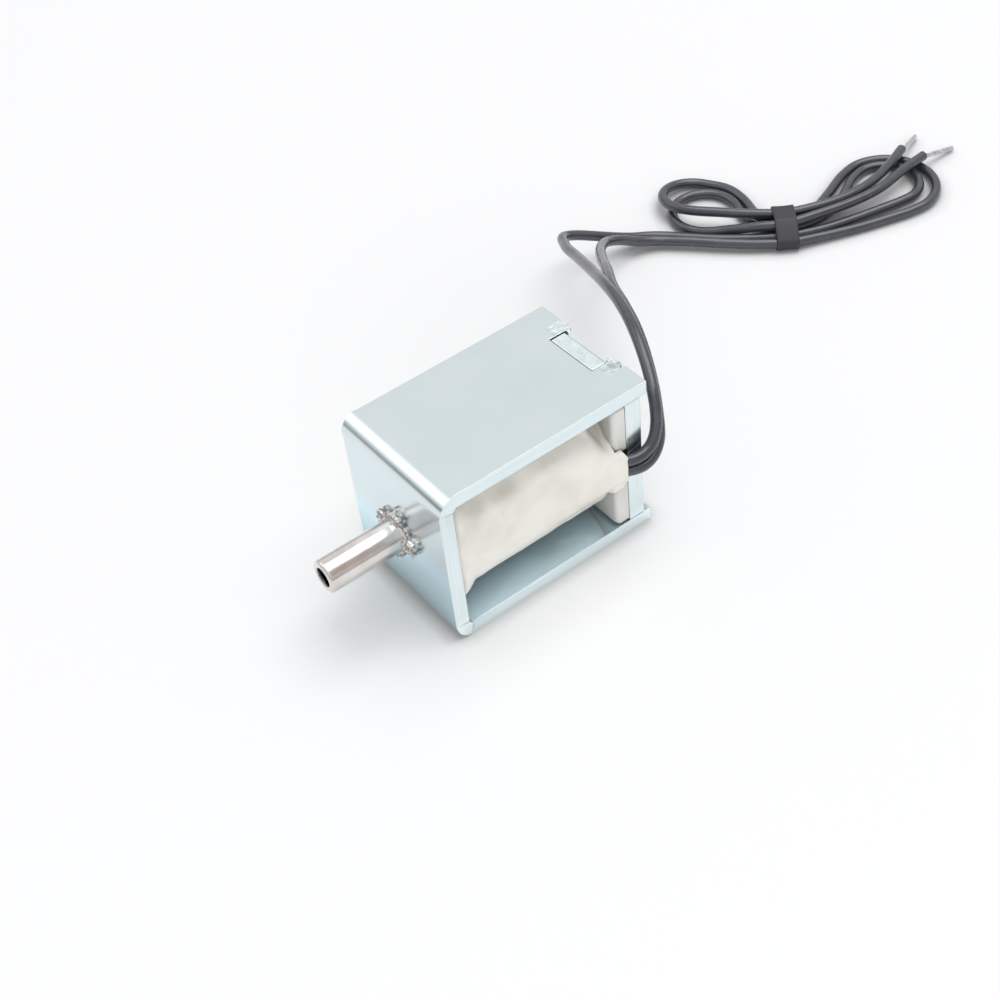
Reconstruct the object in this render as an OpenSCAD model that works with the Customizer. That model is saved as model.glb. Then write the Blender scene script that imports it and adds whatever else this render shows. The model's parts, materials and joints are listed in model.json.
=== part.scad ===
// Micro solenoid air valve: a bent yoke with a staked rear plate, a nozzle that is also the fixed core,
// a taped coil on a bobbin, and a sprung plunger whose rubber plug shuts the nozzle's orifice.
// The nozzle points to -Y, the leads leave on the +X side, and the yoke stands on z = 0.

/* [Yoke] */
// Length from the nozzle face to the rear edge
yoke_l = 20; // [18:0.5:24]
// Width across the open sides
yoke_w = 12.8; // [12:0.2:16]
// Height over both plates
yoke_h = 15.1; // [14.5:0.1:18]
// Thickness of the sheet
sheet_t = 1.25; // [0.9:0.05:1.5]
// Inside radius of the two bends
bend_in = 0.3; // [0.1:0.05:0.6]

/* [Rear plate] */
// Thickness of the rear plate
rear_t = 1.55; // [1:0.05:1.8]
// How far the yoke reaches behind the rear plate
rear_overhang = 0.65; // [0.6:0.05:1.2]
// Width of the tab at each end of the rear plate
tab_w = 5.1; // [4:0.1:6]
// Diameter of the air vent in the rear plate
vent_d = 2.4; // [1.6:0.1:3]
// Width of the stake beside each tab
stake_w = 1.1; // [0.9:0.1:1.8]
// How far a stake laps behind its tab
stake_lap = 0.35; // [0.2:0.05:0.6]
// Depth of the dent outside each stake
dent_depth = 0.6; // [0.3:0.05:0.9]

/* [Nozzle and core] */
// Outside diameter of the nozzle
nozzle_d = 2.85; // [2.4:0.05:3.1]
// Length of the nozzle in front of the yoke
nozzle_l = 7.2; // [5:0.1:10]
// Bore of the nozzle
nozzle_bore = 1.6; // [1:0.1:1.7]
// Outer rounding of the nozzle's tip
tip_round = 0.3; // [0.1:0.05:0.35]
// Diameter of the neck that is staked in the yoke
neck_d = 3.5; // [3.3:0.1:4.2]
// Diameter of the staked rim
collar_d = 4; // [3.9:0.1:4.6]
// Height of the staked rim
collar_h = 0.35; // [0.2:0.05:0.6]
// Radius over the lugs of the rim
lug_r = 2.45; // [2.35:0.05:2.8]
// Width of a lug
lug_w = 1.5; // [1:0.1:1.8]
// Height of a lug
lug_h = 0.65; // [0.4:0.05:0.9]
// Length of the fixed core inside the yoke
core_l = 6.75; // [5:0.25:8]
// Diameter of the orifice that the plunger shuts
orifice_d = 0.8; // [0.5:0.1:1]
// Diameter of the raised seat round the orifice
seat_d = 2; // [1.6:0.1:2.4]
// Height of the raised seat
seat_h = 0.3; // [0.2:0.05:0.5]

/* [Bobbin] */
// Bore of the bobbin
bore_d = 5.1; // [4.9:0.1:5.6]
// Wall of the bobbin's barrel
barrel_wall = 0.55; // [0.4:0.05:0.8]
// Thickness of the front flange
front_flange_t = 0.9; // [0.6:0.1:1.2]
// Thickness of the rear flange
rear_flange_t = 1.25; // [0.9:0.05:1.6]
// Corner radius of the rear flange
rear_flange_r = 0.4; // [0.2:0.1:1]
// How far the rear flange lies inside the yoke's sides
flange_inset = 0.05; // [0.05:0.05:0.5]
// Depth of the lead notch in the rear flange
notch_depth = 0.9; // [0.5:0.1:1.2]

/* [Coil] */
// How far the taped coil lies inside the yoke's sides
coil_inset = 0.8; // [0.6:0.1:1]
// Gap between the taped coil and the yoke's plates
coil_gap = 0.35; // [0.1:0.05:0.5]
// Corner radius of the taped coil
coil_r = 4.6; // [3.5:0.1:4.8]
// Thickness of the tape
tape_t = 0.12; // [0.08:0.01:0.2]
// Thickness of the pad under the soldered joints
pad_t = 0.1; // [0.06:0.01:0.15]

/* [Plunger] */
// Travel of the plunger
stroke = 0.8; // [0.4:0.1:1.2]
// Gap left between plunger and core when the valve is shut
pole_gap = 0.2; // [0.1:0.05:0.4]
// Running clearance of the plunger in the bobbin, on the radius
plunger_clear = 0.08; // [0.04:0.01:0.1]
// Diameter of the spring pocket
pocket_d = 3.9; // [3.7:0.1:4.1]
// Depth of the spring pocket
pocket_l = 2.6; // [2:0.1:4]
// Diameter of the post inside the spring
post_d = 2.6; // [2.4:0.1:2.7]
// Diameter of the rubber plug
seal_d = 1.9; // [1.6:0.1:2]
// Length of the rubber plug
seal_l = 1.5; // [1:0.1:2]
// How far the plug stands out of its post
seal_proud = 0.3; // [0.2:0.05:0.4]
// Width of the air grooves
groove_w = 0.8; // [0.5:0.1:1.2]
// Depth of the air grooves along the plunger
groove_depth = 0.3; // [0.2:0.05:0.35]
// Depth of the air slot across the plunger's rear end
slot_depth = 0.5; // [0.3:0.1:0.8]
// Thickness of the rubber ring behind the plunger
bumper_t = 0.5; // [0.3:0.1:0.8]
// Diameter of the rubber ring behind the plunger
bumper_d = 4.7; // [4:0.1:4.8]

/* [Return spring] */
// Mean diameter of the spring
spring_d = 3.2; // [3.1:0.05:3.4]
// Diameter of the spring's wire
spring_wire = 0.3; // [0.2:0.02:0.34]
// Turns of the spring
spring_turns = 5; // [4:1:7]

/* [Leads] */
// Outside diameter of a lead
lead_d = 1; // [0.8:0.05:1.1]
// Diameter of a soldered joint
splice_d = 0.6; // [0.4:0.05:0.9]
// Length of a soldered joint
splice_l = 2; // [1.5:0.1:2.2]
// Diameter of the winding's wire ends
tail_d = 0.2; // [0.1:0.02:0.3]
// Diameter of a stripped and tinned lead end
tip_d = 0.5; // [0.3:0.05:0.6]
// Length of a stripped and tinned lead end
tip_l = 5; // [3:0.5:8]

/* [Hank of leads] */
// Radius over the folds where the hank starts
start_fold_r = 4.9; // [4.4:0.1:6]
// Radius over the folds at the hank's other end
end_fold_r = 5.35; // [5:0.05:6.5]
// Width of the hank inside its tie
waist_w = 4.6; // [4.4:0.1:6]
// Height of the hank
hank_h = 2.1; // [2:0.1:3]
// Width of the tie along the hank
tie_w = 2.2; // [1.5:0.1:4]
// Thickness of the tie
tie_t = 0.2; // [0.1:0.05:0.4]

/* [Hidden] */
$fn = 64;

// Clearances
fit_gap = 0.03;
end_gap = 0.05;
tab_gap = 0.1;
core_clear = 0.05;
touch = 0.02;
through = 1;

// Stations along the valve's axis
y_front = -yoke_l / 2;
y_rear = yoke_l / 2;
y_inside = y_front + sheet_t;
y_plate_back = y_rear - rear_overhang;
y_plate_front = y_plate_back - rear_t;
y_bobbin_front = y_inside + end_gap;
y_bobbin_back = y_plate_front - end_gap;
y_coil_front = y_bobbin_front + front_flange_t;
y_coil_back = y_bobbin_back - rear_flange_t;
y_core_end = y_inside + core_l;
y_seat = y_core_end + seat_h;
y_seal = y_seat + stroke + touch;
y_plunger = y_core_end + stroke + pole_gap;
y_bumper = y_plate_front - bumper_t;
plunger_l = y_bumper - touch - y_plunger;

// Heights and half widths
axis_z = yoke_h / 2;
inner_h = yoke_h - 2 * sheet_t;
flange_side = yoke_w / 2 - flange_inset;
coil_w = yoke_w - 2 * coil_inset;
coil_h = inner_h - 2 * coil_gap;
winding_side = coil_w / 2 - tape_t - touch;

// Diameters that follow from a fit
barrel_d = bore_d + 2 * barrel_wall;
core_d = bore_d - 2 * core_clear;
plunger_d = bore_d - 2 * plunger_clear;

// Details of the yoke's staking and the nozzle's rim
dent_w = 0.5;
stake_t = 0.45;
tab_low = 0.05;
lip_round = 0.12;
lug_count = 4;
lug_turn = -8;
seat_wall = 0.8;
plunger_chamfer = 0.2;

// Soldered joints: they lie on a pad on the coil's +X side, under a tent in the tape
lead_z = [8.7, 7.5];
lead_mid_z = (lead_z[0] + lead_z[1]) / 2;
lead_x = winding_side + pad_t + lead_d / 2 + end_gap;
joint_y = 4.6;
pad_front = 2.3;
tail_y = 2.05;
pad_h = 3;
tent_margin = 0.35;
tent_x = lead_x + lead_d / 2 + tent_margin;
tent_h = lead_z[0] - lead_z[1] + lead_d + tent_margin;
tent_ramp = 2.2;
tent_base = 0.6;

// Routes of the two leads, from their soldered joints to the hank
lead_route_1 = [[6.1, 4.6, 8.7], [6.12, 5.4, 8.7], [6.25, 6.2, 8.7], [6.6, 7.0, 8.7], [7.05, 7.9, 8.65],
    [7.2, 8.85, 8.7], [7.1, 9.65, 9.0], [6.9, 10.25, 9.5], [6.5, 10.8, 10.2], [5.95, 11.25, 11.15],
    [5.1, 11.75, 12.05], [3.75, 12.5, 12.85], [1.7, 13.5, 13.6], [-0.9, 14.7, 13.95], [-4.0, 16.1, 13.55],
    [-7.8, 17.8, 12.3], [-12.3, 20.0, 10.1], [-17.5, 22.4, 7.6], [-22.2, 24.5, 5.5], [-24.5, 26.2, 4.4],
    [-24.8, 27.9, 3.55], [-24.4, 29.7, 2.75], [-23.8, 31.6, 1.95], [-23.2, 33.6, 1.2], [-22.4, 35.6, 0.75],
    [-19.7, 38.3, 0.55], [-17.5, 40.2, 0.55], [-15.1, 42.6, 0.65], [-14.1, 43.9, 0.7]];
lead_route_2 = [[6.1, 4.6, 7.5], [6.12, 5.4, 7.5], [6.25, 6.2, 7.5], [6.6, 7.0, 7.5], [7.05, 7.9, 7.43],
    [7.27, 8.75, 7.38], [7.2, 9.6, 7.5], [6.93, 10.35, 7.83], [6.55, 10.98, 8.38], [6.05, 11.45, 9.1],
    [5.55, 11.8, 10.0], [4.75, 12.3, 10.65], [3.55, 13.0, 11.5], [1.4, 14.15, 12.4], [-1.1, 15.4, 12.8],
    [-4.3, 16.9, 12.5], [-8.2, 18.9, 11.2], [-12.6, 21.8, 9.2], [-16.8, 24.6, 6.8], [-20.1, 27.2, 4.9],
    [-21.9, 29.4, 3.5], [-22.4, 31.6, 2.3], [-22.1, 33.4, 1.4], [-21.6, 34.8, 1.0], [-19.0, 37.5, 0.9],
    [-16.8, 39.4, 0.87], [-14.2, 41.9, 0.82], [-13.2, 43.1, 0.78]];
lead_sides = 8;

// The hank lies behind the valve, in a frame of its own: length along x, the valve towards -y.
// It is gathered in its tie, and folds open on both sides of it.
hank_place = [-22.9, 38.4, 0];
hank_turn = 54;
hank_low = tie_t;
waist_place = [11, -3.35];
waist_l = 6;
start_fold = [3.4, 2.4];
end_fold = [22.4, 3.3];
tip_angles = [37, 62];
tip_droop = 14;
tip_z = 1.5;
tip_sink = 0.25;
tie_gap = 0.03;

// Turns the z axis of its children to +Y, on the valve's axis at a station
module along_axis(y) {
    translate([0, y, axis_z]) rotate([-90, 0, 0]) children();
}

module rounded(w, h, r) {
    square([w - 2 * r, h], center = true);
    square([w, h - 2 * r], center = true);
    for (sx = [-1, 1], sy = [-1, 1])
        translate([sx * (w / 2 - r), sy * (h / 2 - r)]) circle(r);
}

// A slab of a rounded outline across the valve's axis, from one station to another
module across(y0, y1, w, h, r) {
    along_axis(y0) linear_extrude(y1 - y0) rounded(w, h, r);
}

function unit(v) = v / norm(v);
function heading(path, i) = unit(path[min(i + 1, len(path) - 1)] - path[max(i - 1, 0)]);
function squared(v, t) = unit(v - t * (v * t));
function carried(path, v, i = 0) =
    let (n = squared(v, heading(path, i)))
    i == len(path) - 1 ? [n] : concat([n], carried(path, n, i + 1));

// A round tube along a path, as one closed surface
module swept(path, d, sides, start_normal) {
    normals = carried(path, start_normal);
    points = [for (i = [0:len(path) - 1], k = [0:sides - 1])
        let (n = normals[i], b = cross(heading(path, i), n), a = 360 * k / sides)
        path[i] + d / 2 * (cos(a) * n + sin(a) * b)];
    last = (len(path) - 1) * sides;
    sides_faces = [for (i = [0:len(path) - 2], k = [0:sides - 1])
        [i * sides + k, (i + 1) * sides + k, (i + 1) * sides + (k + 1) % sides, i * sides + (k + 1) % sides]];
    caps = [[for (k = [0:sides - 1]) k], [for (k = [sides - 1:-1:0]) last + k]];
    polyhedron(points, concat(sides_faces, caps), convexity = 6);
}

// Side outline of the bent sheet: y runs along x here, z along y
module bent_outline(inset, r) {
    front = y_front + inset;
    low = inset;
    high = yoke_h - inset;
    back = y_rear + (inset > 0 ? through : 0);
    translate([front + r, low]) square([back - front - r, high - low]);
    translate([front, low + r]) square([r * 2, high - low - 2 * r]);
    for (z = [low + r, high - r])
        translate([front + r, z]) circle(r);
}

// One plate's notch for the rear plate's tab, its stakes and dents, drawn for the top plate
module tab_notch() {
    half = tab_w / 2 + tab_gap;
    depth = y_rear - y_plate_front + tab_gap;
    translate([-half, y_rear - depth, yoke_h - sheet_t - through])
        cube([2 * half, depth + through, sheet_t + 2 * through]);
    for (s = [-1, 1])
        translate([s * (half + stake_w), y_rear, yoke_h - sheet_t - through])
            linear_extrude(sheet_t + 2 * through)
                polygon([[-dent_w / 2, through], [-dent_w / 2, 0], [0, -dent_depth], [dent_w / 2, 0],
                    [dent_w / 2, through]]);
}

module stakes() {
    half = tab_w / 2 + tab_gap;
    for (s = [-1, 1])
        translate([s * half, y_plate_back + fit_gap, yoke_h - sheet_t])
            linear_extrude(sheet_t)
                polygon([[s * stake_w / 2, 0], [-s * stake_lap, 0], [-s * stake_lap, stake_t / 2],
                    [0, stake_t], [s * stake_w / 2, stake_t]]);
}

module for_both_plates() {
    children();
    translate([0, 0, yoke_h]) mirror([0, 0, 1]) children();
}

module yoke_frame() {
    color([0.84, 0.88, 0.89]) {
        difference() {
            rotate([90, 0, 90])
                linear_extrude(yoke_w, center = true)
                    difference() {
                        bent_outline(0, sheet_t + bend_in);
                        bent_outline(sheet_t, bend_in);
                    }
            along_axis(y_front - through) cylinder(d = neck_d + 2 * fit_gap, h = sheet_t + 2 * through);
            for_both_plates() tab_notch();
        }
        for_both_plates() stakes();
    }
}

module rear_plate() {
    plate_w = yoke_w - 2 * fit_gap;
    plate_h = inner_h - 2 * fit_gap;
    color([0.82, 0.87, 0.88])
        difference() {
            along_axis(y_plate_front)
                linear_extrude(rear_t) {
                    square([plate_w, plate_h], center = true);
                    square([tab_w, yoke_h - 2 * tab_low], center = true);
                }
            along_axis(y_plate_front - through) cylinder(d = vent_d, h = rear_t + 2 * through);
        }
}

// Half section of the nozzle and core: radius along x, the axis along y, 0 at the yoke's front face
module core_section() {
    r = nozzle_d / 2;
    bore = nozzle_bore / 2;
    core_end = sheet_t + core_l;
    difference() {
        union() {
            translate([0, tip_round - nozzle_l]) square([r, nozzle_l - tip_round + touch]);
            translate([0, -nozzle_l]) square([r - tip_round, nozzle_l]);
            translate([r - tip_round, tip_round - nozzle_l]) circle(tip_round);
            polygon([[0, -lug_h], [r, -lug_h], [collar_d / 2, -collar_h], [collar_d / 2, 0], [0, 0]]);
            square([neck_d / 2, sheet_t]);
            translate([0, sheet_t]) square([core_d / 2, core_l]);
            translate([0, core_end]) square([seat_d / 2, seat_h]);
        }
        translate([-through, -nozzle_l - through])
            square([bore + through, nozzle_l + through + core_end - seat_wall]);
        translate([-through, 0]) square([orifice_d / 2 + through, core_end + seat_h + through]);
        translate([bore, -nozzle_l]) polygon([[0, 0], [lip_round, 0], [0, lip_round]]);
        translate([-through * 2, -nozzle_l - through])
            square([through * 2, nozzle_l + core_end + seat_h + 2 * through]);
    }
}

module nozzle_core() {
    lug_root = nozzle_d / 2 - touch;
    color([0.80, 0.78, 0.76]) {
        along_axis(y_front) rotate_extrude() core_section();
        along_axis(y_front - lug_h)
            for (i = [0:lug_count - 1])
                rotate(lug_turn + i * 360 / lug_count)
                    linear_extrude(lug_h)
                        intersection() {
                            circle(lug_r);
                            translate([lug_root, -lug_w / 2]) square([lug_r, lug_w]);
                        }
    }
}

module bobbin() {
    flange_h = inner_h - 2 * end_gap;
    inset = tape_t + touch;
    color([0.90, 0.90, 0.87])
        difference() {
            union() {
                across(y_bobbin_front, y_coil_front, coil_w - 2 * inset, coil_h - 2 * inset, coil_r - inset);
                along_axis(y_bobbin_front) cylinder(d = barrel_d, h = y_bobbin_back - y_bobbin_front);
                across(y_coil_back, y_bobbin_back, 2 * flange_side, flange_h, rear_flange_r);
            }
            along_axis(y_bobbin_front - through) cylinder(d = bore_d, h = yoke_l);
            translate([flange_side - notch_depth, y_coil_back - touch, lead_mid_z - tent_h / 2])
                cube([notch_depth + through, rear_flange_t + 2 * touch, tent_h]);
        }
}

module coil_winding() {
    inset = tape_t + touch;
    color([0.72, 0.40, 0.22])
        difference() {
            across(y_coil_front + touch, y_coil_back - touch, coil_w - 2 * inset, coil_h - 2 * inset, coil_r - inset);
            along_axis(y_coil_front - through) cylinder(d = barrel_d + 2 * fit_gap, h = yoke_l);
        }
}

// Ramp and roof of the tape over the leads and their joints
module tent(skin) {
    side = coil_w / 2 - tape_t + skin;
    roof = tent_x + skin;
    h = tent_h + 2 * skin;
    base = h + tent_base;
    front = pad_front - tent_ramp - skin;
    hull() {
        translate([side - tape_t, front, lead_mid_z - h / 2]) cube([touch, touch, h]);
        translate([side - tape_t, tail_y - tail_d - skin, lead_mid_z - base / 2])
            cube([touch, y_coil_back - tail_y + tail_d + skin, base]);
        translate([roof - touch, tail_y - tail_d - skin, lead_mid_z - h / 2])
            cube([touch, y_coil_back - tail_y + tail_d + skin, h]);
    }
}

module coil_tape() {
    color([0.91, 0.89, 0.84])
        difference() {
            union() {
                across(y_bobbin_front + touch, y_coil_back - touch, coil_w, coil_h, coil_r);
                intersection() {
                    tent(tape_t);
                    translate([0, y_front, 0]) cube([yoke_w, y_coil_back - touch - y_front, yoke_h]);
                }
            }
            across(y_bobbin_front - through, y_coil_back + through, coil_w - 2 * tape_t, coil_h - 2 * tape_t,
                coil_r - tape_t);
            tent(0);
        }
}

module splice_pad() {
    color([0.86, 0.78, 0.52])
        translate([winding_side, pad_front, lead_mid_z - pad_h / 2])
            cube([pad_t, y_coil_back - end_gap - pad_front, pad_h]);
}

module splice(z) {
    color([0.72, 0.73, 0.75])
        translate([lead_x, joint_y - splice_l, z]) rotate([-90, 0, 0]) cylinder(d = splice_d, h = splice_l);
}

module splice_1() {
    splice(lead_z[0]);
}

module splice_2() {
    splice(lead_z[1]);
}

// A wire end from the front of a soldered joint, bent down to the winding
module coil_tail(z) {
    color([0.74, 0.36, 0.18]) {
        translate([lead_x, tail_y, z]) rotate([-90, 0, 0])
            cylinder(d = tail_d, h = joint_y - splice_l - tail_y);
        translate([winding_side, tail_y, z]) rotate([0, 90, 0])
            cylinder(d = tail_d, h = lead_x - winding_side);
        translate([lead_x, tail_y, z]) sphere(d = tail_d);
    }
}

module coil_tail_1() {
    coil_tail(lead_z[0]);
}

module coil_tail_2() {
    coil_tail(lead_z[1]);
}

// Half section of the plunger: radius along x, the axis along y, 0 at the front rim
module plunger_section() {
    r = plunger_d / 2;
    post_drop = y_seal + seal_proud - y_plunger;
    difference() {
        square([r, plunger_l]);
        translate([post_d / 2, -through]) square([(pocket_d - post_d) / 2, pocket_l + through]);
        translate([0, -through]) square([post_d / 2 + touch, post_drop + through]);
        square([seal_d / 2, post_drop + seal_l - seal_proud]);
        translate([r, plunger_l]) polygon([[touch, touch], [-plunger_chamfer, touch], [touch, -plunger_chamfer]]);
    }
}

module plunger() {
    color([0.70, 0.71, 0.72])
        along_axis(y_plunger)
            difference() {
                rotate_extrude() plunger_section();
                for (s = [0, 180])
                    rotate(s)
                        translate([plunger_d / 2 - groove_depth, -groove_w / 2, -through])
                            cube([plunger_d, groove_w, plunger_l + 2 * through]);
                translate([-plunger_d, -groove_w / 2, plunger_l - slot_depth])
                    cube([2 * plunger_d, groove_w, slot_depth + through]);
            }
}

module plunger_seal() {
    color([0.15, 0.15, 0.16])
        along_axis(y_seal) cylinder(d = seal_d - 2 * fit_gap, h = seal_l - fit_gap);
}

module return_spring() {
    ring_steps = 14;
    wire_sides = 6;
    from = y_core_end + spring_wire / 2 + touch;
    length = y_plunger + pocket_l - touch - spring_wire / 2 - from;
    steps = spring_turns * ring_steps;
    path = [for (i = [0:steps])
        let (a = 360 * i / ring_steps)
        [spring_d / 2 * cos(a), spring_d / 2 * sin(a), length * i / steps]];
    color([0.66, 0.67, 0.69])
        along_axis(from) swept(path, spring_wire, wire_sides, [1, 0, 0]);
}

module rear_bumper() {
    color([0.18, 0.18, 0.19])
        along_axis(y_bumper)
            difference() {
                cylinder(d = bumper_d, h = bumper_t);
                translate([0, 0, -through]) cylinder(d = vent_d, h = bumper_t + 2 * through);
            }
}

module lead_wire_1() {
    color([0.16, 0.16, 0.18]) swept(lead_route_1, lead_d, lead_sides, [1, 0, 0]);
}

module lead_wire_2() {
    color([0.16, 0.16, 0.18]) swept(lead_route_2, lead_d, lead_sides, [1, 0, 0]);
}

module in_hank() {
    translate(hank_place) rotate(hank_turn) children();
}

// One side of the hank, from its fold to the tie
module hank_side(fold, r, waist_x) {
    hull() {
        translate(fold) circle(r);
        translate([waist_x, waist_place.y]) circle(waist_w / 2);
    }
}

module lead_hank() {
    color([0.22, 0.22, 0.24])
        in_hank()
            translate([0, 0, hank_low])
                linear_extrude(hank_h) {
                    hank_side(start_fold, start_fold_r, waist_place.x - waist_l / 2);
                    hank_side(end_fold, end_fold_r, waist_place.x + waist_l / 2);
                    translate(waist_place) square([waist_l, waist_w], center = true);
                }
}

module hank_tie() {
    inner_w = waist_w + 2 * tie_gap;
    inner_top = hank_low + hank_h + tie_gap;
    color([0.16, 0.16, 0.17])
        in_hank()
            translate([waist_place.x - tie_w / 2, waist_place.y, 0])
                difference() {
                    translate([0, -inner_w / 2 - tie_t, 0])
                        cube([tie_w, inner_w + 2 * tie_t, inner_top + tie_t]);
                    translate([-through, -inner_w / 2, hank_low])
                        cube([tie_w + 2 * through, inner_w, inner_top - hank_low]);
                }
}

// A bare lead end that leaves the hank's far fold and droops to the ground
module lead_tip(angle) {
    reach = end_fold_r - tip_sink;
    color([0.78, 0.79, 0.80])
        in_hank()
            translate([end_fold.x + reach * cos(angle), end_fold.y + reach * sin(angle), tip_z])
                rotate([0, 90 + tip_droop, angle]) cylinder(d = tip_d, h = tip_l);
}

module lead_tip_1() {
    lead_tip(tip_angles[0]);
}

module lead_tip_2() {
    lead_tip(tip_angles[1]);
}

yoke_frame();
rear_plate();
nozzle_core();
bobbin();
coil_winding();
coil_tape();
splice_pad();
splice_1();
splice_2();
coil_tail_1();
coil_tail_2();
plunger();
plunger_seal();
return_spring();
rear_bumper();
lead_wire_1();
lead_wire_2();
lead_hank();
hank_tie();
lead_tip_1();
lead_tip_2();
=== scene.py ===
import json
import math

import bmesh
import bpy
from mathutils import Matrix, Vector, noise


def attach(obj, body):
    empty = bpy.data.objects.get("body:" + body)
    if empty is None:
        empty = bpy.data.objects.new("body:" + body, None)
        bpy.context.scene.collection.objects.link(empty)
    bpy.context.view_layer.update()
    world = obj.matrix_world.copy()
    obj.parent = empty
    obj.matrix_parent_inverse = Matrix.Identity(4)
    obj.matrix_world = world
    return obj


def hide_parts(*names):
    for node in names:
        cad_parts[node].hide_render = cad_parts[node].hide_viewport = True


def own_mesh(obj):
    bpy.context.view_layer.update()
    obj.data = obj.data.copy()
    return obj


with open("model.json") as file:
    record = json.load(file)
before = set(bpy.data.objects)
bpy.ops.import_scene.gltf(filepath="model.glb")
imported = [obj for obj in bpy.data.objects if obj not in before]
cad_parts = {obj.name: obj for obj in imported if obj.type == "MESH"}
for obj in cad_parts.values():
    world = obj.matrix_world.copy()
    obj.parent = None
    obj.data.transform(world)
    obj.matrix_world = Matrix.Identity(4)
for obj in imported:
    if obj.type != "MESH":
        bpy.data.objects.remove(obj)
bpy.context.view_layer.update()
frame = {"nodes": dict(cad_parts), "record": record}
nodes = frame["nodes"]
scene = bpy.context.scene
MM = 0.001
ROOT = "valve"
PLUNGER = "plunger_body"
AXIS_Z = 7.55
BLACK, WHITE = (0, 0, 0), (1, 1, 1)


# Shader nodes

def feed(tree, socket, value):
    """Links another socket to this one, or sets its constant."""
    if isinstance(value, bpy.types.NodeSocket):
        tree.links.new(value, socket)
    else:
        socket.default_value = value


def add_node(tree, kind, *inputs, **settings):
    """A new node with its settings made and its first inputs fed in order."""
    node = tree.nodes.new(kind)
    for key, value in settings.items():
        setattr(node, key, value)
    for socket, value in zip(node.inputs, inputs):
        feed(tree, socket, value)
    return node


def mixed(tree, blend, factor, a, b):
    """The colour that a mix node gives."""
    node = add_node(tree, "ShaderNodeMix", data_type="RGBA", blend_type=blend)
    for name, value in (("Factor", factor), ("A", a), ("B", b)):
        socket = [s for s in node.inputs if s.name == name and s.enabled][0]
        feed(tree, socket, (*value, 1) if isinstance(value, tuple) else value)
    return [s for s in node.outputs if s.enabled][0]


def ramped(tree, source, stops):
    """The colour that a ramp gives, from pairs of position and colour."""
    node = add_node(tree, "ShaderNodeValToRGB", source)
    ends = node.color_ramp.elements
    while len(ends) < len(stops):
        ends.new(0.5)
    for element, (position, colour) in zip(ends, stops):
        element.position = position
        element.color = (*colour, 1)
    return node.outputs[0]


class Graph:
    """Short way to add and link shader nodes of one material."""

    def __init__(self, name):
        self.material = bpy.data.materials.new(name)
        self.material.use_nodes = True
        self.tree = self.material.node_tree
        self.shader = self.tree.nodes["Principled BSDF"]
        places = self.tree.nodes.new("ShaderNodeTexCoord")
        self.coords, self.normals = places.outputs["Object"], places.outputs["Normal"]

    def add(self, kind, **inputs):
        """A new node with its named inputs fed."""
        node = self.tree.nodes.new(kind)
        for key, value in inputs.items():
            feed(self.tree, node.inputs[key], value)
        return node

    def split(self, vector):
        """The three parts of a vector."""
        return self.add("ShaderNodeSeparateXYZ", Vector=vector).outputs[:]

    def noise(self, scale, detail=3.0, rough=0.55, stretch=(1, 1, 1)):
        """Clouds of noise, drawn out along an axis where stretch is small."""
        mapping = self.add("ShaderNodeMapping", Vector=self.coords, Scale=stretch)
        node = self.add("ShaderNodeTexNoise", Vector=mapping.outputs[0], Scale=scale, Detail=detail,
                        Roughness=rough)
        return node.outputs["Fac"]

    def ramp(self, source, stops):
        return ramped(self.tree, source, stops)

    def span(self, source, low, high, from_low=0.3, from_high=0.7):
        """A value moved from one range to another and held at its ends."""
        return add_node(self.tree, "ShaderNodeMapRange", source, from_low, from_high, low, high).outputs[0]

    def rises(self, source, ends):
        """0 up to the first end, 1 from the second."""
        return self.span(source, 0, 1, *ends)

    def falls(self, source, ends):
        """1 up to the first end, 0 from the second."""
        return self.span(source, 1, 0, *ends)

    def maths(self, operation, *values):
        return add_node(self.tree, "ShaderNodeMath", *values, operation=operation).outputs[0]

    def times(self, product, *others):
        """The product of all the values."""
        for other in others:
            product = self.maths("MULTIPLY", product, other)
        return product

    def bump(self, source, strength, distance, below=None):
        """A normal with fine relief, laid over another normal where one is given."""
        node = self.add("ShaderNodeBump", Height=source, Strength=strength, Distance=distance)
        if below is not None:
            feed(self.tree, node.inputs["Normal"], below)
        return node.outputs[0]

    def mix(self, blend, factor, a, b):
        return mixed(self.tree, blend, factor, a, b)

    def tint(self, factor, colour, other):
        """One colour times another, as far as the factor says."""
        return mixed(self.tree, "MULTIPLY", factor, colour, other)

    def painted_shade_in_hollows(self, reach):
        """Grey that is darker in corners: painted shade, where little light gets in."""
        node = self.add("ShaderNodeAmbientOcclusion", Distance=reach)
        node.samples = 8
        return self.ramp(node.outputs["AO"], [(0.25, (0.36, 0.34, 0.33)), (0.95, WHITE)])

    def finish(self, colour, roughness, normal, **constants):
        """Feeds the shader and gives the material."""
        for name, value in (("Base Color", colour), ("Roughness", roughness), ("Normal", normal)):
            feed(self.tree, self.shader.inputs[name], value)
        for key, value in constants.items():
            self.shader.inputs[key.replace("_", " ")].default_value = value
        return self.material


# Where the plated sheet changes its look: how a face is turned, and places in metres

FACING, FACING_FRONT = (0.9, 0.97), (-0.98, -0.92)
PLATE_LEVEL = (0.0061, 0.0064)
PAINTED_FOOT_LIGHT_Z, FRONT_Z = (0.0003, 0.0024), (0.001, 0.0085)
LOWER_FACE_Z, TOP_FACE_Z = (0.0015, 0.002), (0.0148, 0.0149)
REAR_WALL_Y = (0.0074, 0.0078)
TAB_Y, TAB_X = (0.00776, 0.0078), (0.00258, 0.00262)
STAKE_Y, STAKE_X, STAKE_REACH = (0.0081, 0.0086), 0.0033, (0.0005, 0.0008)


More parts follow.
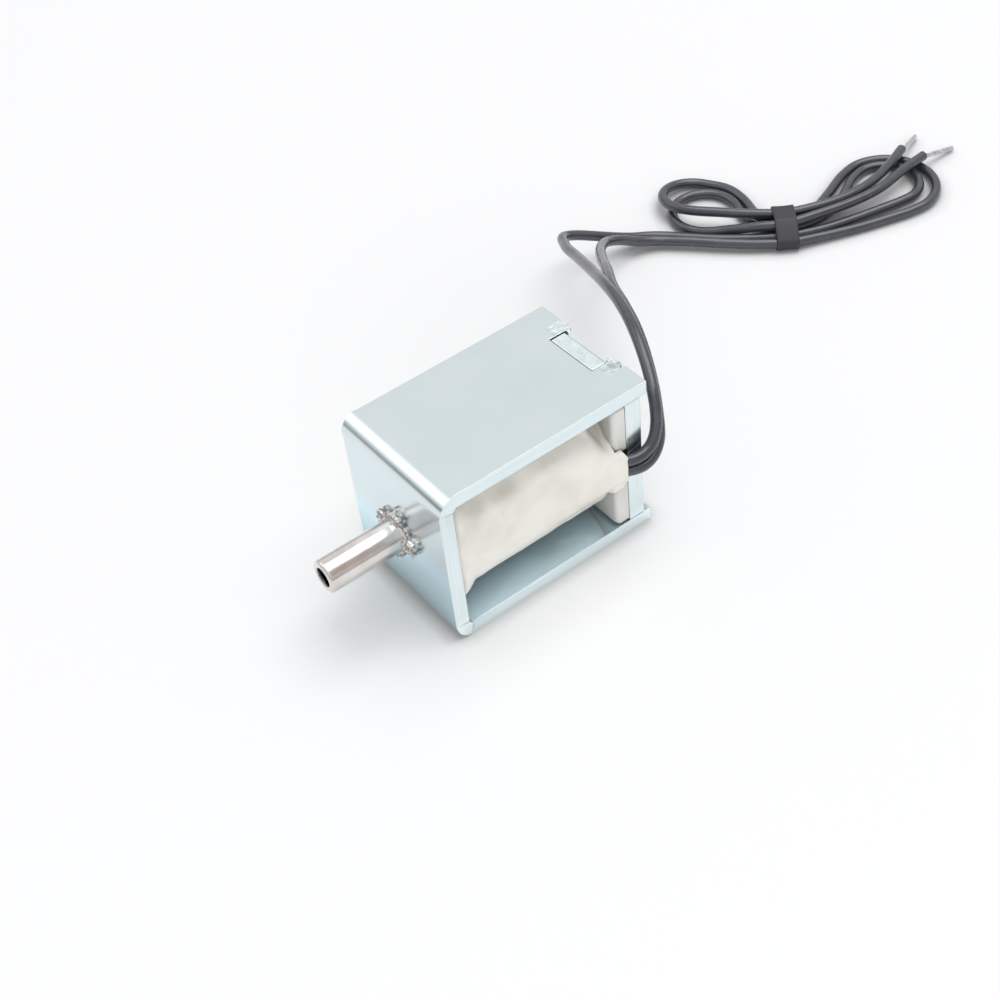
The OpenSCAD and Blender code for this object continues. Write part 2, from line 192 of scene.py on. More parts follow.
def zinc():
    """Plated sheet: smooth faces with faint clouds, sheared edges with streaks, and marks of the punch, with
    painted highlights, reflections, glints and shade laid into the colour.
    """
    g = Graph("zinc_plate")
    x, y, z = g.split(g.coords)
    facing_x, facing_y, facing_z = g.split(g.normals)
    clouds = g.noise(140, 4, 0.6)
    colour = g.ramp(clouds, [(0.3, (0.645, 0.728, 0.745)), (0.55, (0.672, 0.748, 0.764)),
                             (0.75, (0.695, 0.765, 0.778))])

    # Sheared sides, streaked along the sheet, with a painted highlight that is stronger at the foot
    side = g.rises(g.maths("ABSOLUTE", facing_x), FACING)
    level = g.maths("ABSOLUTE", g.maths("SUBTRACT", z, AXIS_Z * MM))
    upright = g.noise(5200, 3, 0.6, stretch=(1, 1, 0.03))
    lengthwise = g.noise(5200, 3, 0.6, stretch=(1, 0.03, 1))
    streaks = g.mix("MIX", g.rises(level, PLATE_LEVEL), upright, lengthwise)
    shear = g.tint(1.0, g.ramp(streaks, [(0.3, BLACK), (0.7, WHITE)]), side)
    # Painted highlight: the sheared sides are lifted brighter than the plate; the streaks are their own
    # tone.
    colour = g.tint(side, colour, g.ramp(streaks, [(0.32, (1.02, 1.03, 1.03)), (0.62, (1.12, 1.12, 1.12))]))
    # Painted highlight: the sides are brighter still close to the floor.
    colour = g.tint(side, colour, g.ramp(g.rises(z, PAINTED_FOOT_LIGHT_Z), [(0.0, (1.26, 1.26, 1.29)), (1.0, WHITE)]))

    # The lower plate's face inside the yoke, with a painted bluish reflection, and the front plate, with a
    # painted reflection that is darker towards the bottom
    inner = g.times(g.rises(facing_z, FACING), g.falls(z, LOWER_FACE_Z), g.falls(y, REAR_WALL_Y))
    # Painted reflection: the lower plate's face inside the yoke is tinted bluer and brighter.
    colour = g.tint(inner, colour, (1.03, 1.15, 1.25))
    front = g.falls(facing_y, FACING_FRONT)
    # Painted reflection: the front plate is darker towards the bottom, and brighter and bluer higher up.
    painted_front_reflection = g.ramp(g.rises(z, FRONT_Z), [(0.0, (0.58, 0.73, 0.74)), (0.35, (0.77, 0.93, 0.97)),
                                          (0.7, (0.97, 1.12, 1.20)), (1.0, (1.0, 1.02, 1.03))])
    colour = g.tint(front, colour, painted_front_reflection)

    # The peened tab, painted brighter than the plate, and what the punch pushed up beside it, with painted
    # glints and shade
    away = g.maths("ABSOLUTE", x)
    tab = g.times(g.rises(y, TAB_Y), g.falls(away, TAB_X), g.rises(z, TOP_FACE_Z))
    peened = g.noise(900, 4, 0.6)
    # Painted highlight: the peened tab is lifted brighter than the plate, in a mottle.
    colour = g.tint(tab, colour, g.ramp(peened, [(0.3, (1.04, 1.04, 1.04)), (0.7, (1.26, 1.26, 1.26))]))
    from_stake = g.maths("ABSOLUTE", g.maths("SUBTRACT", away, STAKE_X))
    stake = g.times(g.rises(y, STAKE_Y), g.rises(z, TOP_FACE_Z), g.falls(from_stake, STAKE_REACH))
    pushed = g.noise(1500, 3, 0.6, stretch=(1.3, 0.7, 1))
    # Painted glints and shade: flecks where the punch pushed metal up are made darker and brighter.
    colour = g.tint(stake, colour, g.ramp(pushed, [(0.36, (0.68, 0.70, 0.70)), (0.5, WHITE),
                                                   (0.62, (1.15, 1.15, 1.15))]))

    normal = g.bump(g.noise(1300, 3, 0.6, stretch=(0.05, 1, 1)), 0.05, 3e-6)
    normal = g.bump(shear, 0.2, 1e-5, normal)
    normal = g.bump(g.times(g.maths("SUBTRACT", pushed, 0.5), stake), 0.65, 1.2e-4, normal)
    normal = g.bump(g.times(peened, tab), 0.4, 4e-5, normal)
    return g.finish(colour, g.span(clouds, 0.15, 0.2), normal, Metallic=1.0)


# Radii and places of the nozzle's bore and collar, in metres

BORE_EDGE = (0.00082, 0.00092)
COLLAR_Y, COLLAR_EDGE = (-0.0109, -0.0106), (0.0015, 0.0017)


def nickel():
    """Bright turned nozzle, with painted shade in its bore, crumbly at its collar with painted shade in the
    crushed metal.
    """
    g = Graph("nickel")
    x, y, z = g.split(g.coords)
    clouds = g.noise(500, 3, 0.6)
    colour = g.ramp(clouds, [(0.3, (0.62, 0.58, 0.55)), (0.7, (0.74, 0.71, 0.69))])
    rise = g.maths("SUBTRACT", z, AXIS_Z * MM)
    radius = g.maths("SQRT", g.maths("ADD", g.times(x, x), g.times(rise, rise)))
    outside = g.rises(radius, BORE_EDGE)
    # Painted shade: the bore is dark inside.
    colour = g.tint(1.0, colour, g.ramp(outside, [(0.0, (0.20, 0.20, 0.21)), (1.0, WHITE)]))
    collar = g.times(g.rises(y, COLLAR_Y), g.rises(radius, COLLAR_EDGE))
    crumbs = g.noise(3600, 4, 0.6)
    # Painted shade: dark flecks in the crevices of the crushed metal at the collar.
    colour = g.tint(collar, colour, g.ramp(crumbs, [(0.40, (0.30, 0.30, 0.30)), (0.56, WHITE)]))
    normal = g.bump(g.noise(5000, 2, 0.5, stretch=(0.05, 1, 0.05)), 0.08, 3e-6)
    normal = g.bump(g.times(crumbs, collar), 0.8, 7e-5, normal)
    return g.finish(colour, g.span(clouds, 0.13, 0.2), normal, Metallic=1.0)


def moulded():
    g = Graph("bobbin_plastic")
    clouds = g.noise(250, 3)
    colour = g.ramp(clouds, [(0.3, (0.715, 0.71, 0.675)), (0.7, (0.775, 0.77, 0.735))])
    # Painted shade: the moulding is darker in its corners and hollows.
    colour = g.tint(0.9, colour, g.painted_shade_in_hollows(0.003))
    return g.finish(colour, g.span(clouds, 0.36, 0.46), g.bump(g.noise(6000, 2), 0.08, 5e-6),
                    Subsurface_Weight=0.08, Subsurface_Scale=0.0006, Subsurface_Radius=(1.0, 0.9, 0.8))


def tape_cloth():
    """Cream cloth tape, greyer where it lies on the winding in its dents, with painted shade in its dents
    and hollows.
    """
    g = Graph("tape")
    clouds = g.noise(170, 3, 0.55)
    fibres = g.noise(3200, 3, 0.6, stretch=(1, 0.15, 1))
    crumple = g.noise(700, 3, 0.5)
    colour = g.ramp(clouds, [(0.28, (0.78, 0.74, 0.655)), (0.5, (0.88, 0.855, 0.785)),
                             (0.75, (0.92, 0.90, 0.86))])
    dent = add_node(g.tree, "ShaderNodeAttribute", attribute_name="dent")
    # Greyer and darker in the dents: partly the tape's tone on the winding, partly painted shade.
    colour = g.tint(1.0, colour, g.ramp(dent.outputs["Fac"], [(0.0, WHITE), (1.0, (0.66, 0.64, 0.61))]))
    # Painted shade: darker in corners and close under the top plate.
    colour = g.tint(0.42, colour, g.painted_shade_in_hollows(0.002))
    colour = g.tint(0.18, colour, g.ramp(fibres, [(0.3, (0.86, 0.84, 0.80)), (0.7, WHITE)]))
    normal = g.bump(crumple, 0.18, 4e-5)
    normal = g.bump(fibres, 0.12, 8e-6, normal)
    return g.finish(colour, g.span(crumple, 0.30, 0.44), normal)


def paper_pad():
    g = Graph("pad")
    fibres = g.noise(2500, 4)
    colour = g.ramp(fibres, [(0.3, (0.62, 0.50, 0.26)), (0.7, (0.72, 0.60, 0.34))])
    return g.finish(colour, 0.7, g.bump(fibres, 0.2, 1e-5))


def copper():
    g = Graph("copper")
    clouds = g.noise(400, 3)
    wave = g.add("ShaderNodeTexWave", Vector=g.coords, Scale=1600)
    wave.bands_direction = "Y"
    colour = g.ramp(clouds, [(0.3, (0.52, 0.20, 0.09)), (0.7, (0.64, 0.27, 0.13))])
    return g.finish(colour, g.span(clouds, 0.22, 0.32), g.bump(wave.outputs["Fac"], 0.5, 4e-5), Metallic=1.0)


def tinned():
    g = Graph("solder")
    clouds = g.noise(1800, 3)
    colour = g.ramp(clouds, [(0.3, (0.50, 0.50, 0.52)), (0.7, (0.68, 0.68, 0.70))])
    return g.finish(colour, g.span(clouds, 0.2, 0.4), g.bump(clouds, 0.2, 1e-5), Metallic=1.0)


def turned_steel(name, low, high):
    g = Graph(name)
    clouds = g.noise(500, 3)
    rings = g.noise(4500, 2, 0.5, stretch=(0.05, 1, 0.05))
    colour = g.ramp(clouds, [(0.3, low), (0.7, high)])
    return g.finish(colour, g.span(clouds, 0.22, 0.34), g.bump(rings, 0.15, 5e-6), Metallic=1.0)


def rubber():
    g = Graph("black_rubber")
    clouds = g.noise(700, 3)
    colour = g.ramp(clouds, [(0.3, (0.012, 0.012, 0.014)), (0.7, (0.022, 0.022, 0.024))])
    return g.finish(colour, g.span(clouds, 0.55, 0.7), g.bump(g.noise(5000, 2), 0.2, 8e-6))


def insulation():
    g = Graph("lead_insulation")
    clouds = g.noise(180, 3, 0.6)
    scuffs = g.noise(700, 3, 0.55)
    colour = g.ramp(clouds, [(0.3, (0.028, 0.031, 0.041)), (0.7, (0.042, 0.046, 0.059))])
    colour = g.mix("ADD", 1.0, colour, g.ramp(scuffs, [(0.5, BLACK), (0.85, (0.02, 0.021, 0.026))]))
    return g.finish(colour, g.span(scuffs, 0.2, 0.28), g.bump(clouds, 0.1, 2e-5), Specular_IOR_Level=0.85)


def dark_band():
    g = Graph("tie_band")
    clouds = g.noise(350, 3)
    colour = g.ramp(clouds, [(0.3, (0.020, 0.020, 0.023)), (0.7, (0.030, 0.030, 0.034))])
    return g.finish(colour, g.span(clouds, 0.42, 0.55), g.bump(g.noise(4200, 3, 0.6), 0.2, 1e-5))


MATERIALS = {
    "zinc_plate": zinc(), "nickel": nickel(), "bobbin_plastic": moulded(), "tape": tape_cloth(),
    "pad": paper_pad(), "copper": copper(), "solder": tinned(), "black_rubber": rubber(),
    "lead_insulation": insulation(), "tie_band": dark_band(),
    "plunger_steel": turned_steel("plunger_steel", (0.48, 0.49, 0.50), (0.58, 0.59, 0.60)),
    "spring_steel": turned_steel("spring_steel", (0.42, 0.43, 0.45), (0.54, 0.55, 0.57)),
}
SLOT_OF = {s["node"]: s["material_slot"] for s in frame["record"]["subparts"]}

for name, node in nodes.items():
    node.data.materials.clear()
    node.data.materials.append(MATERIALS[SLOT_OF[name]])


# Pieces

WELD = 2e-6
FLAT_ANGLE, EDGE_ANGLE = 0.6, 40


def place(obj, slot, body, *replaced):
    """Links a piece, gives it its finish and its body, and hides the nodes that it stands for."""
    if obj.name not in scene.collection.objects:
        scene.collection.objects.link(obj)
    obj.data.materials.clear()
    obj.data.materials.append(MATERIALS[slot])
    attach(obj, body)
    if replaced:
        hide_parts(*replaced)
    return obj


def ease(x, low, high):
    """A smooth step from 0 at low to 1 at high."""
    t = min(1.0, max(0.0, (x - low) / (high - low)))
    return t * t * (3 - 2 * t)


def smooth(mesh, angle):
    """Smooth shading, with edges above the angle kept sharp."""
    for polygon in mesh.polygons:
        polygon.use_smooth = True
    mesh.set_sharp_from_angle(angle=math.radians(angle))


def from_bmesh(bm, name):
    mesh = bpy.data.meshes.new(name)
    bm.normal_update()
    bm.to_mesh(mesh)
    bm.free()
    return bpy.data.objects.new(name, mesh)


def cut(bm, point, normal):
    """New edges where a plane, given in mm, crosses the mesh."""
    bmesh.ops.bisect_plane(bm, geom=bm.verts[:] + bm.edges[:] + bm.faces[:], dist=1e-6,
                           plane_co=Vector(point) * MM, plane_no=normal)


def join_rows(bm, pairs):
    """Faces between pairs of rows, where each row is a ring."""
    for row, following in pairs:
        for k in range(len(row)):
            m = (k + 1) % len(row)
            bm.faces.new((row[k], row[m], following[m], following[k]))


def dressed(node, name, slot, body, width, reshape=None):
    """A node's own shape with its edges broken, in place of the sharp solid."""
    bm = bmesh.new()
    bm.from_mesh(nodes[node].data)
    bmesh.ops.remove_doubles(bm, verts=bm.verts, dist=WELD)
    bmesh.ops.dissolve_limit(bm, angle_limit=math.radians(FLAT_ANGLE), verts=bm.verts, edges=bm.edges)
    if reshape:
        reshape(bm)
    obj = from_bmesh(bm, name)
    place(obj, slot, body, node)
    bevel = obj.modifiers.new("edges", "BEVEL")
    bevel.width = width * MM
    bevel.segments = 3
    bevel.limit_method = "ANGLE"
    bevel.angle_limit = math.radians(EDGE_ANGLE)
    bevel.harden_normals = True
    smooth(obj.data, EDGE_ANGLE)


# Leads: the routes of the two wires, then the hank

LEAD_D = 1.0
ROUTE_1 = [(6.1, 4.6, 8.7), (6.12, 5.4, 8.7), (6.27, 6.2, 8.7), (6.64, 7.0, 8.64), (7.03, 7.9, 8.59),
           (7.15, 8.83, 8.66), (7.08, 9.61, 8.96), (6.88, 10.24, 9.45), (6.5, 10.8, 10.2),
           (5.95, 11.25, 11.15), (5.1, 11.75, 12.05), (3.75, 12.5, 12.85), (1.7, 13.5, 13.6),
           (-0.9, 14.7, 13.95), (-4.0, 16.1, 13.55), (-7.8, 17.8, 12.3), (-12.3, 20.0, 10.1),
           (-17.5, 22.4, 7.6), (-22.2, 24.5, 5.5), (-24.5, 26.2, 4.4), (-24.8, 27.9, 3.55),
           (-24.4, 29.7, 2.75), (-23.8, 31.6, 1.95), (-23.2, 33.6, 1.2), (-22.4, 35.6, 0.75),
           (-19.7, 38.3, 0.55), (-17.5, 40.2, 0.55), (-15.1, 42.6, 0.65)]
ROUTE_2 = [(6.1, 4.6, 7.5), (6.12, 5.4, 7.5), (6.25, 6.2, 7.5), (6.6, 7.0, 7.54), (7.05, 7.9, 7.52),
           (7.24, 8.75, 7.53), (7.17, 9.58, 7.66), (6.92, 10.34, 7.98), (6.55, 10.98, 8.5),
           (6.05, 11.45, 9.18), (5.48, 11.83, 9.94), (4.75, 12.3, 10.65), (3.55, 13.0, 11.5),
           (1.4, 14.15, 12.4), (-1.1, 15.4, 12.8), (-4.3, 16.9, 12.5), (-8.2, 18.9, 11.2),
           (-12.6, 21.8, 9.2), (-16.8, 24.6, 6.8), (-20.1, 27.2, 4.9), (-21.9, 29.4, 3.5),
           (-22.4, 31.6, 2.3), (-22.1, 33.4, 1.4), (-21.6, 34.8, 1.0), (-19.0, 37.5, 0.9),
           (-16.8, 39.4, 0.87), (-14.2, 41.9, 0.82)]
HANK_PLACE = Vector((-22.9, 38.4, 0))
HANK_TURN = math.radians(54)
FOLD_STEP = 24


def from_hank(u, v, z):
    """A point in mm from the hank's own directions."""
    c, s = math.cos(HANK_TURN), math.sin(HANK_TURN)
    return (HANK_PLACE.x + c * u - s * v, HANK_PLACE.y + s * u + c * v, z)


def fold(centre, radius, start, end, low, high):
    """Points of one fold of the hank, turning left, from one height to another."""
    count = math.ceil((end - start) / FOLD_STEP)
    points = []
    for i in range(count + 1):
        t = i / count
        a = math.radians(start + (end - start) * t)
        points.append((centre[0] + radius * math.cos(a), centre[1] + radius * math.sin(a),
                       low + (high - low) * ease(t, 0, 1)))
    return points


HANK_1 = ([(11, -4.08, 0.75), (14.5, -3.28, 0.6), (18, -1.9, 0.5), (21, -0.6, 0.5)]
          + fold((22.3, 3.62), 3.3, -70, 145, 0.5, 0.5)
          + [(17.6, 2.0, 0.5), (15.4, -0.9, 0.6), (13.2, -2.4, 0.72), (11, -2.97, 0.75), (9.1, -2.4, 0.7),
             (7.8, -0.7, 0.55), (7.15, 1.2, 0.5)]
          + fold((3.7, 1.5), 3.3, 20, 250, 0.5, 0.5)
          + [(5.7, -2.45, 0.95), (8.2, -3.25, 1.6), (11, -3.4, 1.78), (14.5, -2.2, 1.75), (18, -0.6, 1.65),
             (21.3, 1.5, 1.58), (24.2, 4.4, 1.58), (26.6, 6.5, 1.55)])
HANK_2 = ([(11, -5.12, 0.75), (14.5, -4.38, 0.6), (18.1, -3.4, 0.5), (21.4, -2.3, 0.5)]
          + fold((22.4, 3.24), 4.8, -70, 145, 0.5, 0.5)
          + [(16.4, 2.9, 0.5), (14.6, 0.3, 0.6), (13, -1.3, 0.7), (11, -1.92, 0.75), (9.4, -1.2, 0.7),
             (8.5, 0.8, 0.55), (7.75, 3.2, 0.5), (6.5, 5.2, 0.5)]
          + fold((2.9, 3.5), 3.3, 60, 250, 0.5, 1.8)
          + [(4.9, -0.5, 1.8), (8.0, -1.25, 1.8), (11, -1.6, 1.78), (14.5, -1.0, 1.8), (18, 0.6, 1.7),
             (20.9, 2.9, 1.62), (23, 5.5, 1.6), (24.7, 8.05, 1.55)])


def wire(name, points, *node_names):
    """A lead through points in mm, and its length in metres."""
    curve = bpy.data.curves.new(name, "CURVE")
    curve.dimensions = "3D"
    curve.bevel_depth = LEAD_D / 2 * MM
    curve.bevel_resolution = 6
    curve.resolution_u = 6
    curve.use_fill_caps = True
    spline = curve.splines.new("BEZIER")
    spline.bezier_points.add(len(points) - 1)
    places = [Vector(point) * MM for point in points]
    for i, target in enumerate(spline.bezier_points):
        back = places[i] - places[max(i - 1, 0)]
        ahead = places[min(i + 1, len(points) - 1)] - places[i]
        along = (back.normalized() * ahead.length + ahead.normalized() * back.length).normalized()
        if not along.length:
            along = (back + ahead).normalized()
        target.handle_left_type = target.handle_right_type = "FREE"
        target.co = places[i]
        target.handle_left = places[i] - along * (back.length or ahead.length) / 3
        target.handle_right = places[i] + along * (ahead.length or back.length) / 3
    obj = bpy.data.objects.new(name, curve)
    place(obj, "lead_insulation", ROOT, *node_names)
    length = sum((Vector(a) - Vector(b)).length for a, b in zip(points, points[1:])) * MM
    return obj, length


def tube(bm, points, radius, sides):
    """A closed round tube through points, with flat ends."""
    normal = Vector((1, 0, 0))
    rings = []
    for i, point in enumerate(points):
        ahead = (points[min(i + 1, len(points) - 1)] - points[max(i - 1, 0)]).normalized()
        normal = (normal - ahead * normal.dot(ahead)).normalized()
        other = ahead.cross(normal)
        rings.append([bm.verts.new(point + radius * (math.cos(a) * normal + math.sin(a) * other))
                      for a in (2 * math.pi * k / sides for k in range(sides))])
    join_rows(bm, zip(rings, rings[1:]))
    bm.faces.new(list(reversed(rings[0])))
    bm.faces.new(rings[-1])


TIE_SPAN = (9.9, 12.1)
TIE_HULL = [(-5.12, 0.75), (-1.5, 0.75), (-1.55, 1.78), (-3.42, 1.78)]
TIE_INNER, TIE_OUTER = 0.53, 0.75
TIE_EDGE, TIE_CORNER, TIE_WAIST = 0.09, 0.03, 0.05
TIE_STEPS = 6


def tie_outline(reach):
    """The strands' outline at the tie, going round left."""
    points = []
    for i, corner in enumerate(TIE_HULL):
        before, after = TIE_HULL[i - 1], TIE_HULL[(i + 1) % len(TIE_HULL)]
        start = math.atan2(corner[1] - before[1], corner[0] - before[0]) - math.pi / 2
        turn = math.atan2(after[1] - corner[1], after[0] - corner[0]) - math.pi / 2 - start
        turn %= 2 * math.pi
        for k in range(TIE_STEPS + 1):
            a = start + turn * k / TIE_STEPS
            points.append((corner[0] + reach * math.cos(a), corner[1] + reach * math.sin(a)))
    return points


def build_tie():
    """A soft band round the hank, with rounded edges and a slight waist."""
    low, high = TIE_SPAN
    section = [(low, TIE_INNER), (low, TIE_OUTER - TIE_EDGE), (low + TIE_CORNER, TIE_OUTER - TIE_CORNER),
               (low + TIE_EDGE, TIE_OUTER)]
    for t in (0.25, 0.5, 0.75):
        section.append((low + (high - low) * t, TIE_OUTER - TIE_WAIST * math.sin(math.pi * t)))
    section += [(high - TIE_EDGE, TIE_OUTER), (high - TIE_CORNER, TIE_OUTER - TIE_CORNER),
                (high, TIE_OUTER - TIE_EDGE), (high, TIE_INNER)]
    bm = bmesh.new()
    rows = [[bm.verts.new(Vector(from_hank(u, v, z)) * MM) for v, z in tie_outline(reach)]
            for u, reach in section]
    join_rows(bm, zip(rows, rows[1:] + rows[:1]))
    bmesh.ops.recalc_face_normals(bm, faces=bm.faces)
    obj = from_bmesh(bm, "tie_band")
    smooth(obj.data, 50)
    return place(obj, "tie_band", ROOT, "hank_tie")


TIP_FOLD, TIP_REACH, TIP_L, TIP_DROOP = (22.4, 3.3, 1.5), 5.1, 5.0, 14
STRANDS, STRAND_STEPS, STRAND_SIDES, STRAND_TURNS = 6, 40, 8, 1.6
STRAND_R, STRAND_REACH, STRAND_SHORTER = 0.095, 0.155, 0.07
STRAND_CLOSE, STRAND_CLOSE_SPAN = 0.25, (0.85, 1.0)
CORE_STRAND_R, CORE_STRAND_SHORTER = 0.11, 0.1


def build_tip(name, degrees, node):
    """Bare strands, twisted and tinned."""
    a, droop = math.radians(degrees), math.radians(TIP_DROOP)
    start = Vector((TIP_FOLD[0] + TIP_REACH * math.cos(a), TIP_FOLD[1] + TIP_REACH * math.sin(a),
                    TIP_FOLD[2]))
    along = Vector((math.cos(a) * math.cos(droop), math.sin(a) * math.cos(droop), -math.sin(droop)))
    side = Vector((-math.sin(a), math.cos(a), 0))
    up = along.cross(side)
    bm = bmesh.new()
    for strand in range(STRANDS):
        length = TIP_L - STRAND_SHORTER * (strand % 3)
        points = []
        for i in range(STRAND_STEPS + 1):
            t = i / STRAND_STEPS
            turn = 2 * math.pi * (strand / STRANDS + STRAND_TURNS * t)
            reach = STRAND_REACH * (1 - STRAND_CLOSE * ease(t, *STRAND_CLOSE_SPAN))
            point = start + along * length * t + reach * (math.cos(turn) * side + math.sin(turn) * up)
            points.append(Vector(from_hank(*point)) * MM)
        tube(bm, points, STRAND_R * MM, STRAND_SIDES)
    length = TIP_L - CORE_STRAND_SHORTER
    middle = [Vector(from_hank(*(start + along * length * t))) * MM for t in (0.0, 0.5, 1.0)]
    tube(bm, middle, CORE_STRAND_R * MM, STRAND_SIDES)
    obj = from_bmesh(bm, name)
    smooth(obj.data, 60)
    return place(obj, "solder", ROOT, node)


tie = build_tie()
tip_1 = build_tip("bare_tip_1", 37, "lead_tip_1")
tip_2 = build_tip("bare_tip_2", 62, "lead_tip_2")
lead_1, length_1 = wire("lead_1", ROUTE_1 + [from_hank(*p) for p in HANK_1], "lead_wire_1", "lead_hank")
lead_2, length_2 = wire("lead_2", ROUTE_2 + [from_hank(*p) for p in HANK_2], "lead_wire_2", "lead_hank")


# Dressed solids

YOKE_SIDE, BEND_Y, BEND_Z, BEND_IN, BEND_OUT = 6.4, -8.45, (1.55, 13.55), 0.3, 1.55
BEND_CUTS = (12, 45, 78)
BULGE, TOUCH = 0.1, 0.01


def bent_edges(bm):
    """Sheet that is bent swells at its edges on the inside of the bend and draws in on the outside."""
    cut(bm, (0, BEND_Y, 0), (0, 1, 0))
    for z in BEND_Z:
        cut(bm, (0, 0, z), (0, 0, 1))
    for z, sign in zip(BEND_Z, (-1, 1)):
        for a in (math.radians(degrees) for degrees in BEND_CUTS):
            cut(bm, (0, BEND_Y, z), (0, math.sin(a), sign * math.cos(a)))
    middle, half = (BEND_IN + BEND_OUT) / 2, (BEND_OUT - BEND_IN) / 2
    for vert in bm.verts:
        x, y, z = vert.co / MM
        if abs(x) < YOKE_SIDE - TOUCH or y > BEND_Y - TOUCH:
            continue
        rise = BEND_Z[0] - z if z < AXIS_Z else z - BEND_Z[1]
        if rise > TOUCH:
            radius = math.hypot(y - BEND_Y, rise)
            inside = (middle - radius) / half
            vert.co.x += math.copysign(BULGE * inside, x) * MM


FLANGE_FRONT, FLANGE_ROUND = 6.5, 0.45
FLANGE_HALF = (6.35, 6.2)
FLANGE_CORNER = 0.4
FLANGE_CUTS = (20, 40, 60, 76, 90)


def soft_flange(bm):
    """The rear flange is moulded with a well rounded front edge."""
    for degrees in FLANGE_CUTS:
        cut(bm, (0, FLANGE_FRONT + FLANGE_ROUND * (1 - math.cos(math.radians(degrees))), 0), (0, 1, 0))
    for vert in bm.verts:
        x, y, z = vert.co.x / MM, vert.co.y / MM, vert.co.z / MM - AXIS_Z
        on_rim = abs(x) > FLANGE_HALF[0] - FLANGE_CORNER or abs(z) > FLANGE_HALF[1] - FLANGE_CORNER
        back = FLANGE_FRONT + FLANGE_ROUND - y
        if on_rim and 1e-4 < back < FLANGE_ROUND + 0.001:
            inset = FLANGE_ROUND - math.sqrt(max(0.0, FLANGE_ROUND ** 2 - back ** 2))
            vert.co.x *= 1 - inset / FLANGE_HALF[0]
            vert.co.z = (AXIS_Z + z * (1 - inset / FLANGE_HALF[1])) * MM


TAB_RISE, TAB_ROUND = 7.3, 0.32


def soft_tab(bm):
    """The tabs' rear edges are peened round."""
    rear_y = max(v.co.y for v in bm.verts)

    def on_tab(vert):
        return vert.co.y > rear_y - 1e-5 and abs(vert.co.z / MM - AXIS_Z) > TAB_RISE

    edges = [e for e in bm.edges if all(on_tab(v) for v in e.verts)
             and abs(e.verts[0].co.x - e.verts[1].co.x) > 1e-3]
    bmesh.ops.bevel(bm, geom=edges, offset=TAB_ROUND * MM, segments=5, profile=0.5, affect="EDGES",
                    clamp_overlap=True)


dressed("yoke_frame", "yoke", "zinc_plate", ROOT, 0.1, bent_edges)
dressed("rear_plate", "rear_wall", "zinc_plate", ROOT, 0.07, soft_tab)
dressed("bobbin", "bobbin_moulding", "bobbin_plastic", ROOT, 0.1, soft_flange)


# Tape: wrapped round the coil, tented over the lead joints, with a flap over the rear flange

COIL = (5.6, 5.95, 4.6)
TAPE_FRONT, TAPE_BACK, TAPE_T = -8.64, 6.505, 0.07
TAPE_STEP, TAPE_ROWS, FLAP_ROWS = 0.2, 88, 8
FRONT_STEP, FRONT_STEP_Z = 0.14, (6.5, 8.8)
FLANGE_SIDE = FLANGE_HALF[0]

# Dents by middle, half sizes and depth, and folds by ends, width and height, in Y and Z

DENTS = [((-3.1, 11.1), (1.3, 0.9), 0.24), ((-6.0, 11.4), (1.1, 0.9), 0.22),
         ((-6.8, 10.0), (1.0, 1.2), 0.12), ((6.1, 11.6), (0.8, 1.3), 0.42),
         ((0.6, 11.6), (1.6, 0.9), 0.10), ((2.2, 4.6), (1.8, 0.9), 0.07)]
FOLDS = [((-4.9, 11.9), (-3.8, 7.4), 0.40, 0.14), ((4.7, 12.2), (6.2, 9.4), 0.30, 0.22),
         ((-8.2, 8.6), (-8.25, 3.6), 0.16, 0.10), ((-7.6, 7.4), (-7.95, 4.6), 0.20, 0.06),
         ((1.2, 11.4), (3.4, 9.6), 0.45, 0.08)]
# How strongly dents tint the tape: greyer where it lies on the winding, and painted shade.
DENT_SHADE = 2.5

# The wrap: slack above the leads, a tight hold in front, the slant to the front flange and the rear lip

SOFT, FINE, CREASE, CREASE_FROM = 0.05, 0.025, 0.07, 0.78
LEAD_SIDE_X = (-1.0, 1.5)
SLACK, SLACK_Z = 0.2, (8.8, 10.8)
SINK, TOP_ROOM, TIGHT_BELOW = 0.03, 0.2, 0.6
HELD_Y, HELD_SHARE = (-8.7, -8.0), 0.15
FLARE_R, FLARE_START, FLARE_L = 3.0, 6.85, 1.05
LIP, LIP_X, LIP_Y, LIP_Z = 0.12, (0.5, 3.0), (6.1, 6.55), (8.0, 9.5)

# The tent over joints and leads: how high it stands, and where it starts and ends

TENT_X = 3
JOINT_RISE, JOINT_END_Y = 0.93, 2.7
LEAD_RISE, LEAD_RISE_Y = 0.27, (2.4, 5.6)
COVER_X, COVER_STEP, COVER_STEP_Y, COVER_SLOPE, COVER_ROOM = 6.11, 0.14, (5.2, 6.2), 0.47, 0.1
TENT_LOW, TENT_LOW_DROP, TENT_LOW_Y = 6.6, 1.6, (5.0, 7.0)
TENT_LOW_FADE, TENT_LOW_FULL = 0.9, 6.95
TENT_HIGH, TENT_HIGH_RISE, TENT_HIGH_Y = 9.35, 2.2, (4.4, 6.6)
TENT_HIGH_FADE, TENT_HIGH_FULL = 0.55, 9.25
ROOF_Y, ROOF_ROUGH, ROOF_ROUGH_Y = (5.6, 6.3), 0.05, (1, 3)

# The flap over the rear flange, and the tape that it pulls along above it

FLAP_LOW_Z, FLAP_HIGH_Z = (4.7, 5.4), (9.75, 10.3)
FLAP_START, FLAP_RISE_Y, FLAP_END, FLAP_ROOM = 5.9, (6.0, 6.44), 7.66, 0.08
FLAP_SHORTER, OVER_LOW_Z, OVER_HIGH_Z = 0.55, (5.6, 7.0), (8.9, 9.5)
FLAP_SLANT, SLANT_LOW_Z, SLANT_HIGH_Z = 0.6, (5.2, 5.9), (8.8, 9.75)
PULL_IN, PULL_X, PULL_Y = 0.26, (3.0, 4.3), (5.95, 6.46)
PULL_LOW_Z, PULL_HIGH_Z = (9.4, 9.9), (10.1, 10.8)


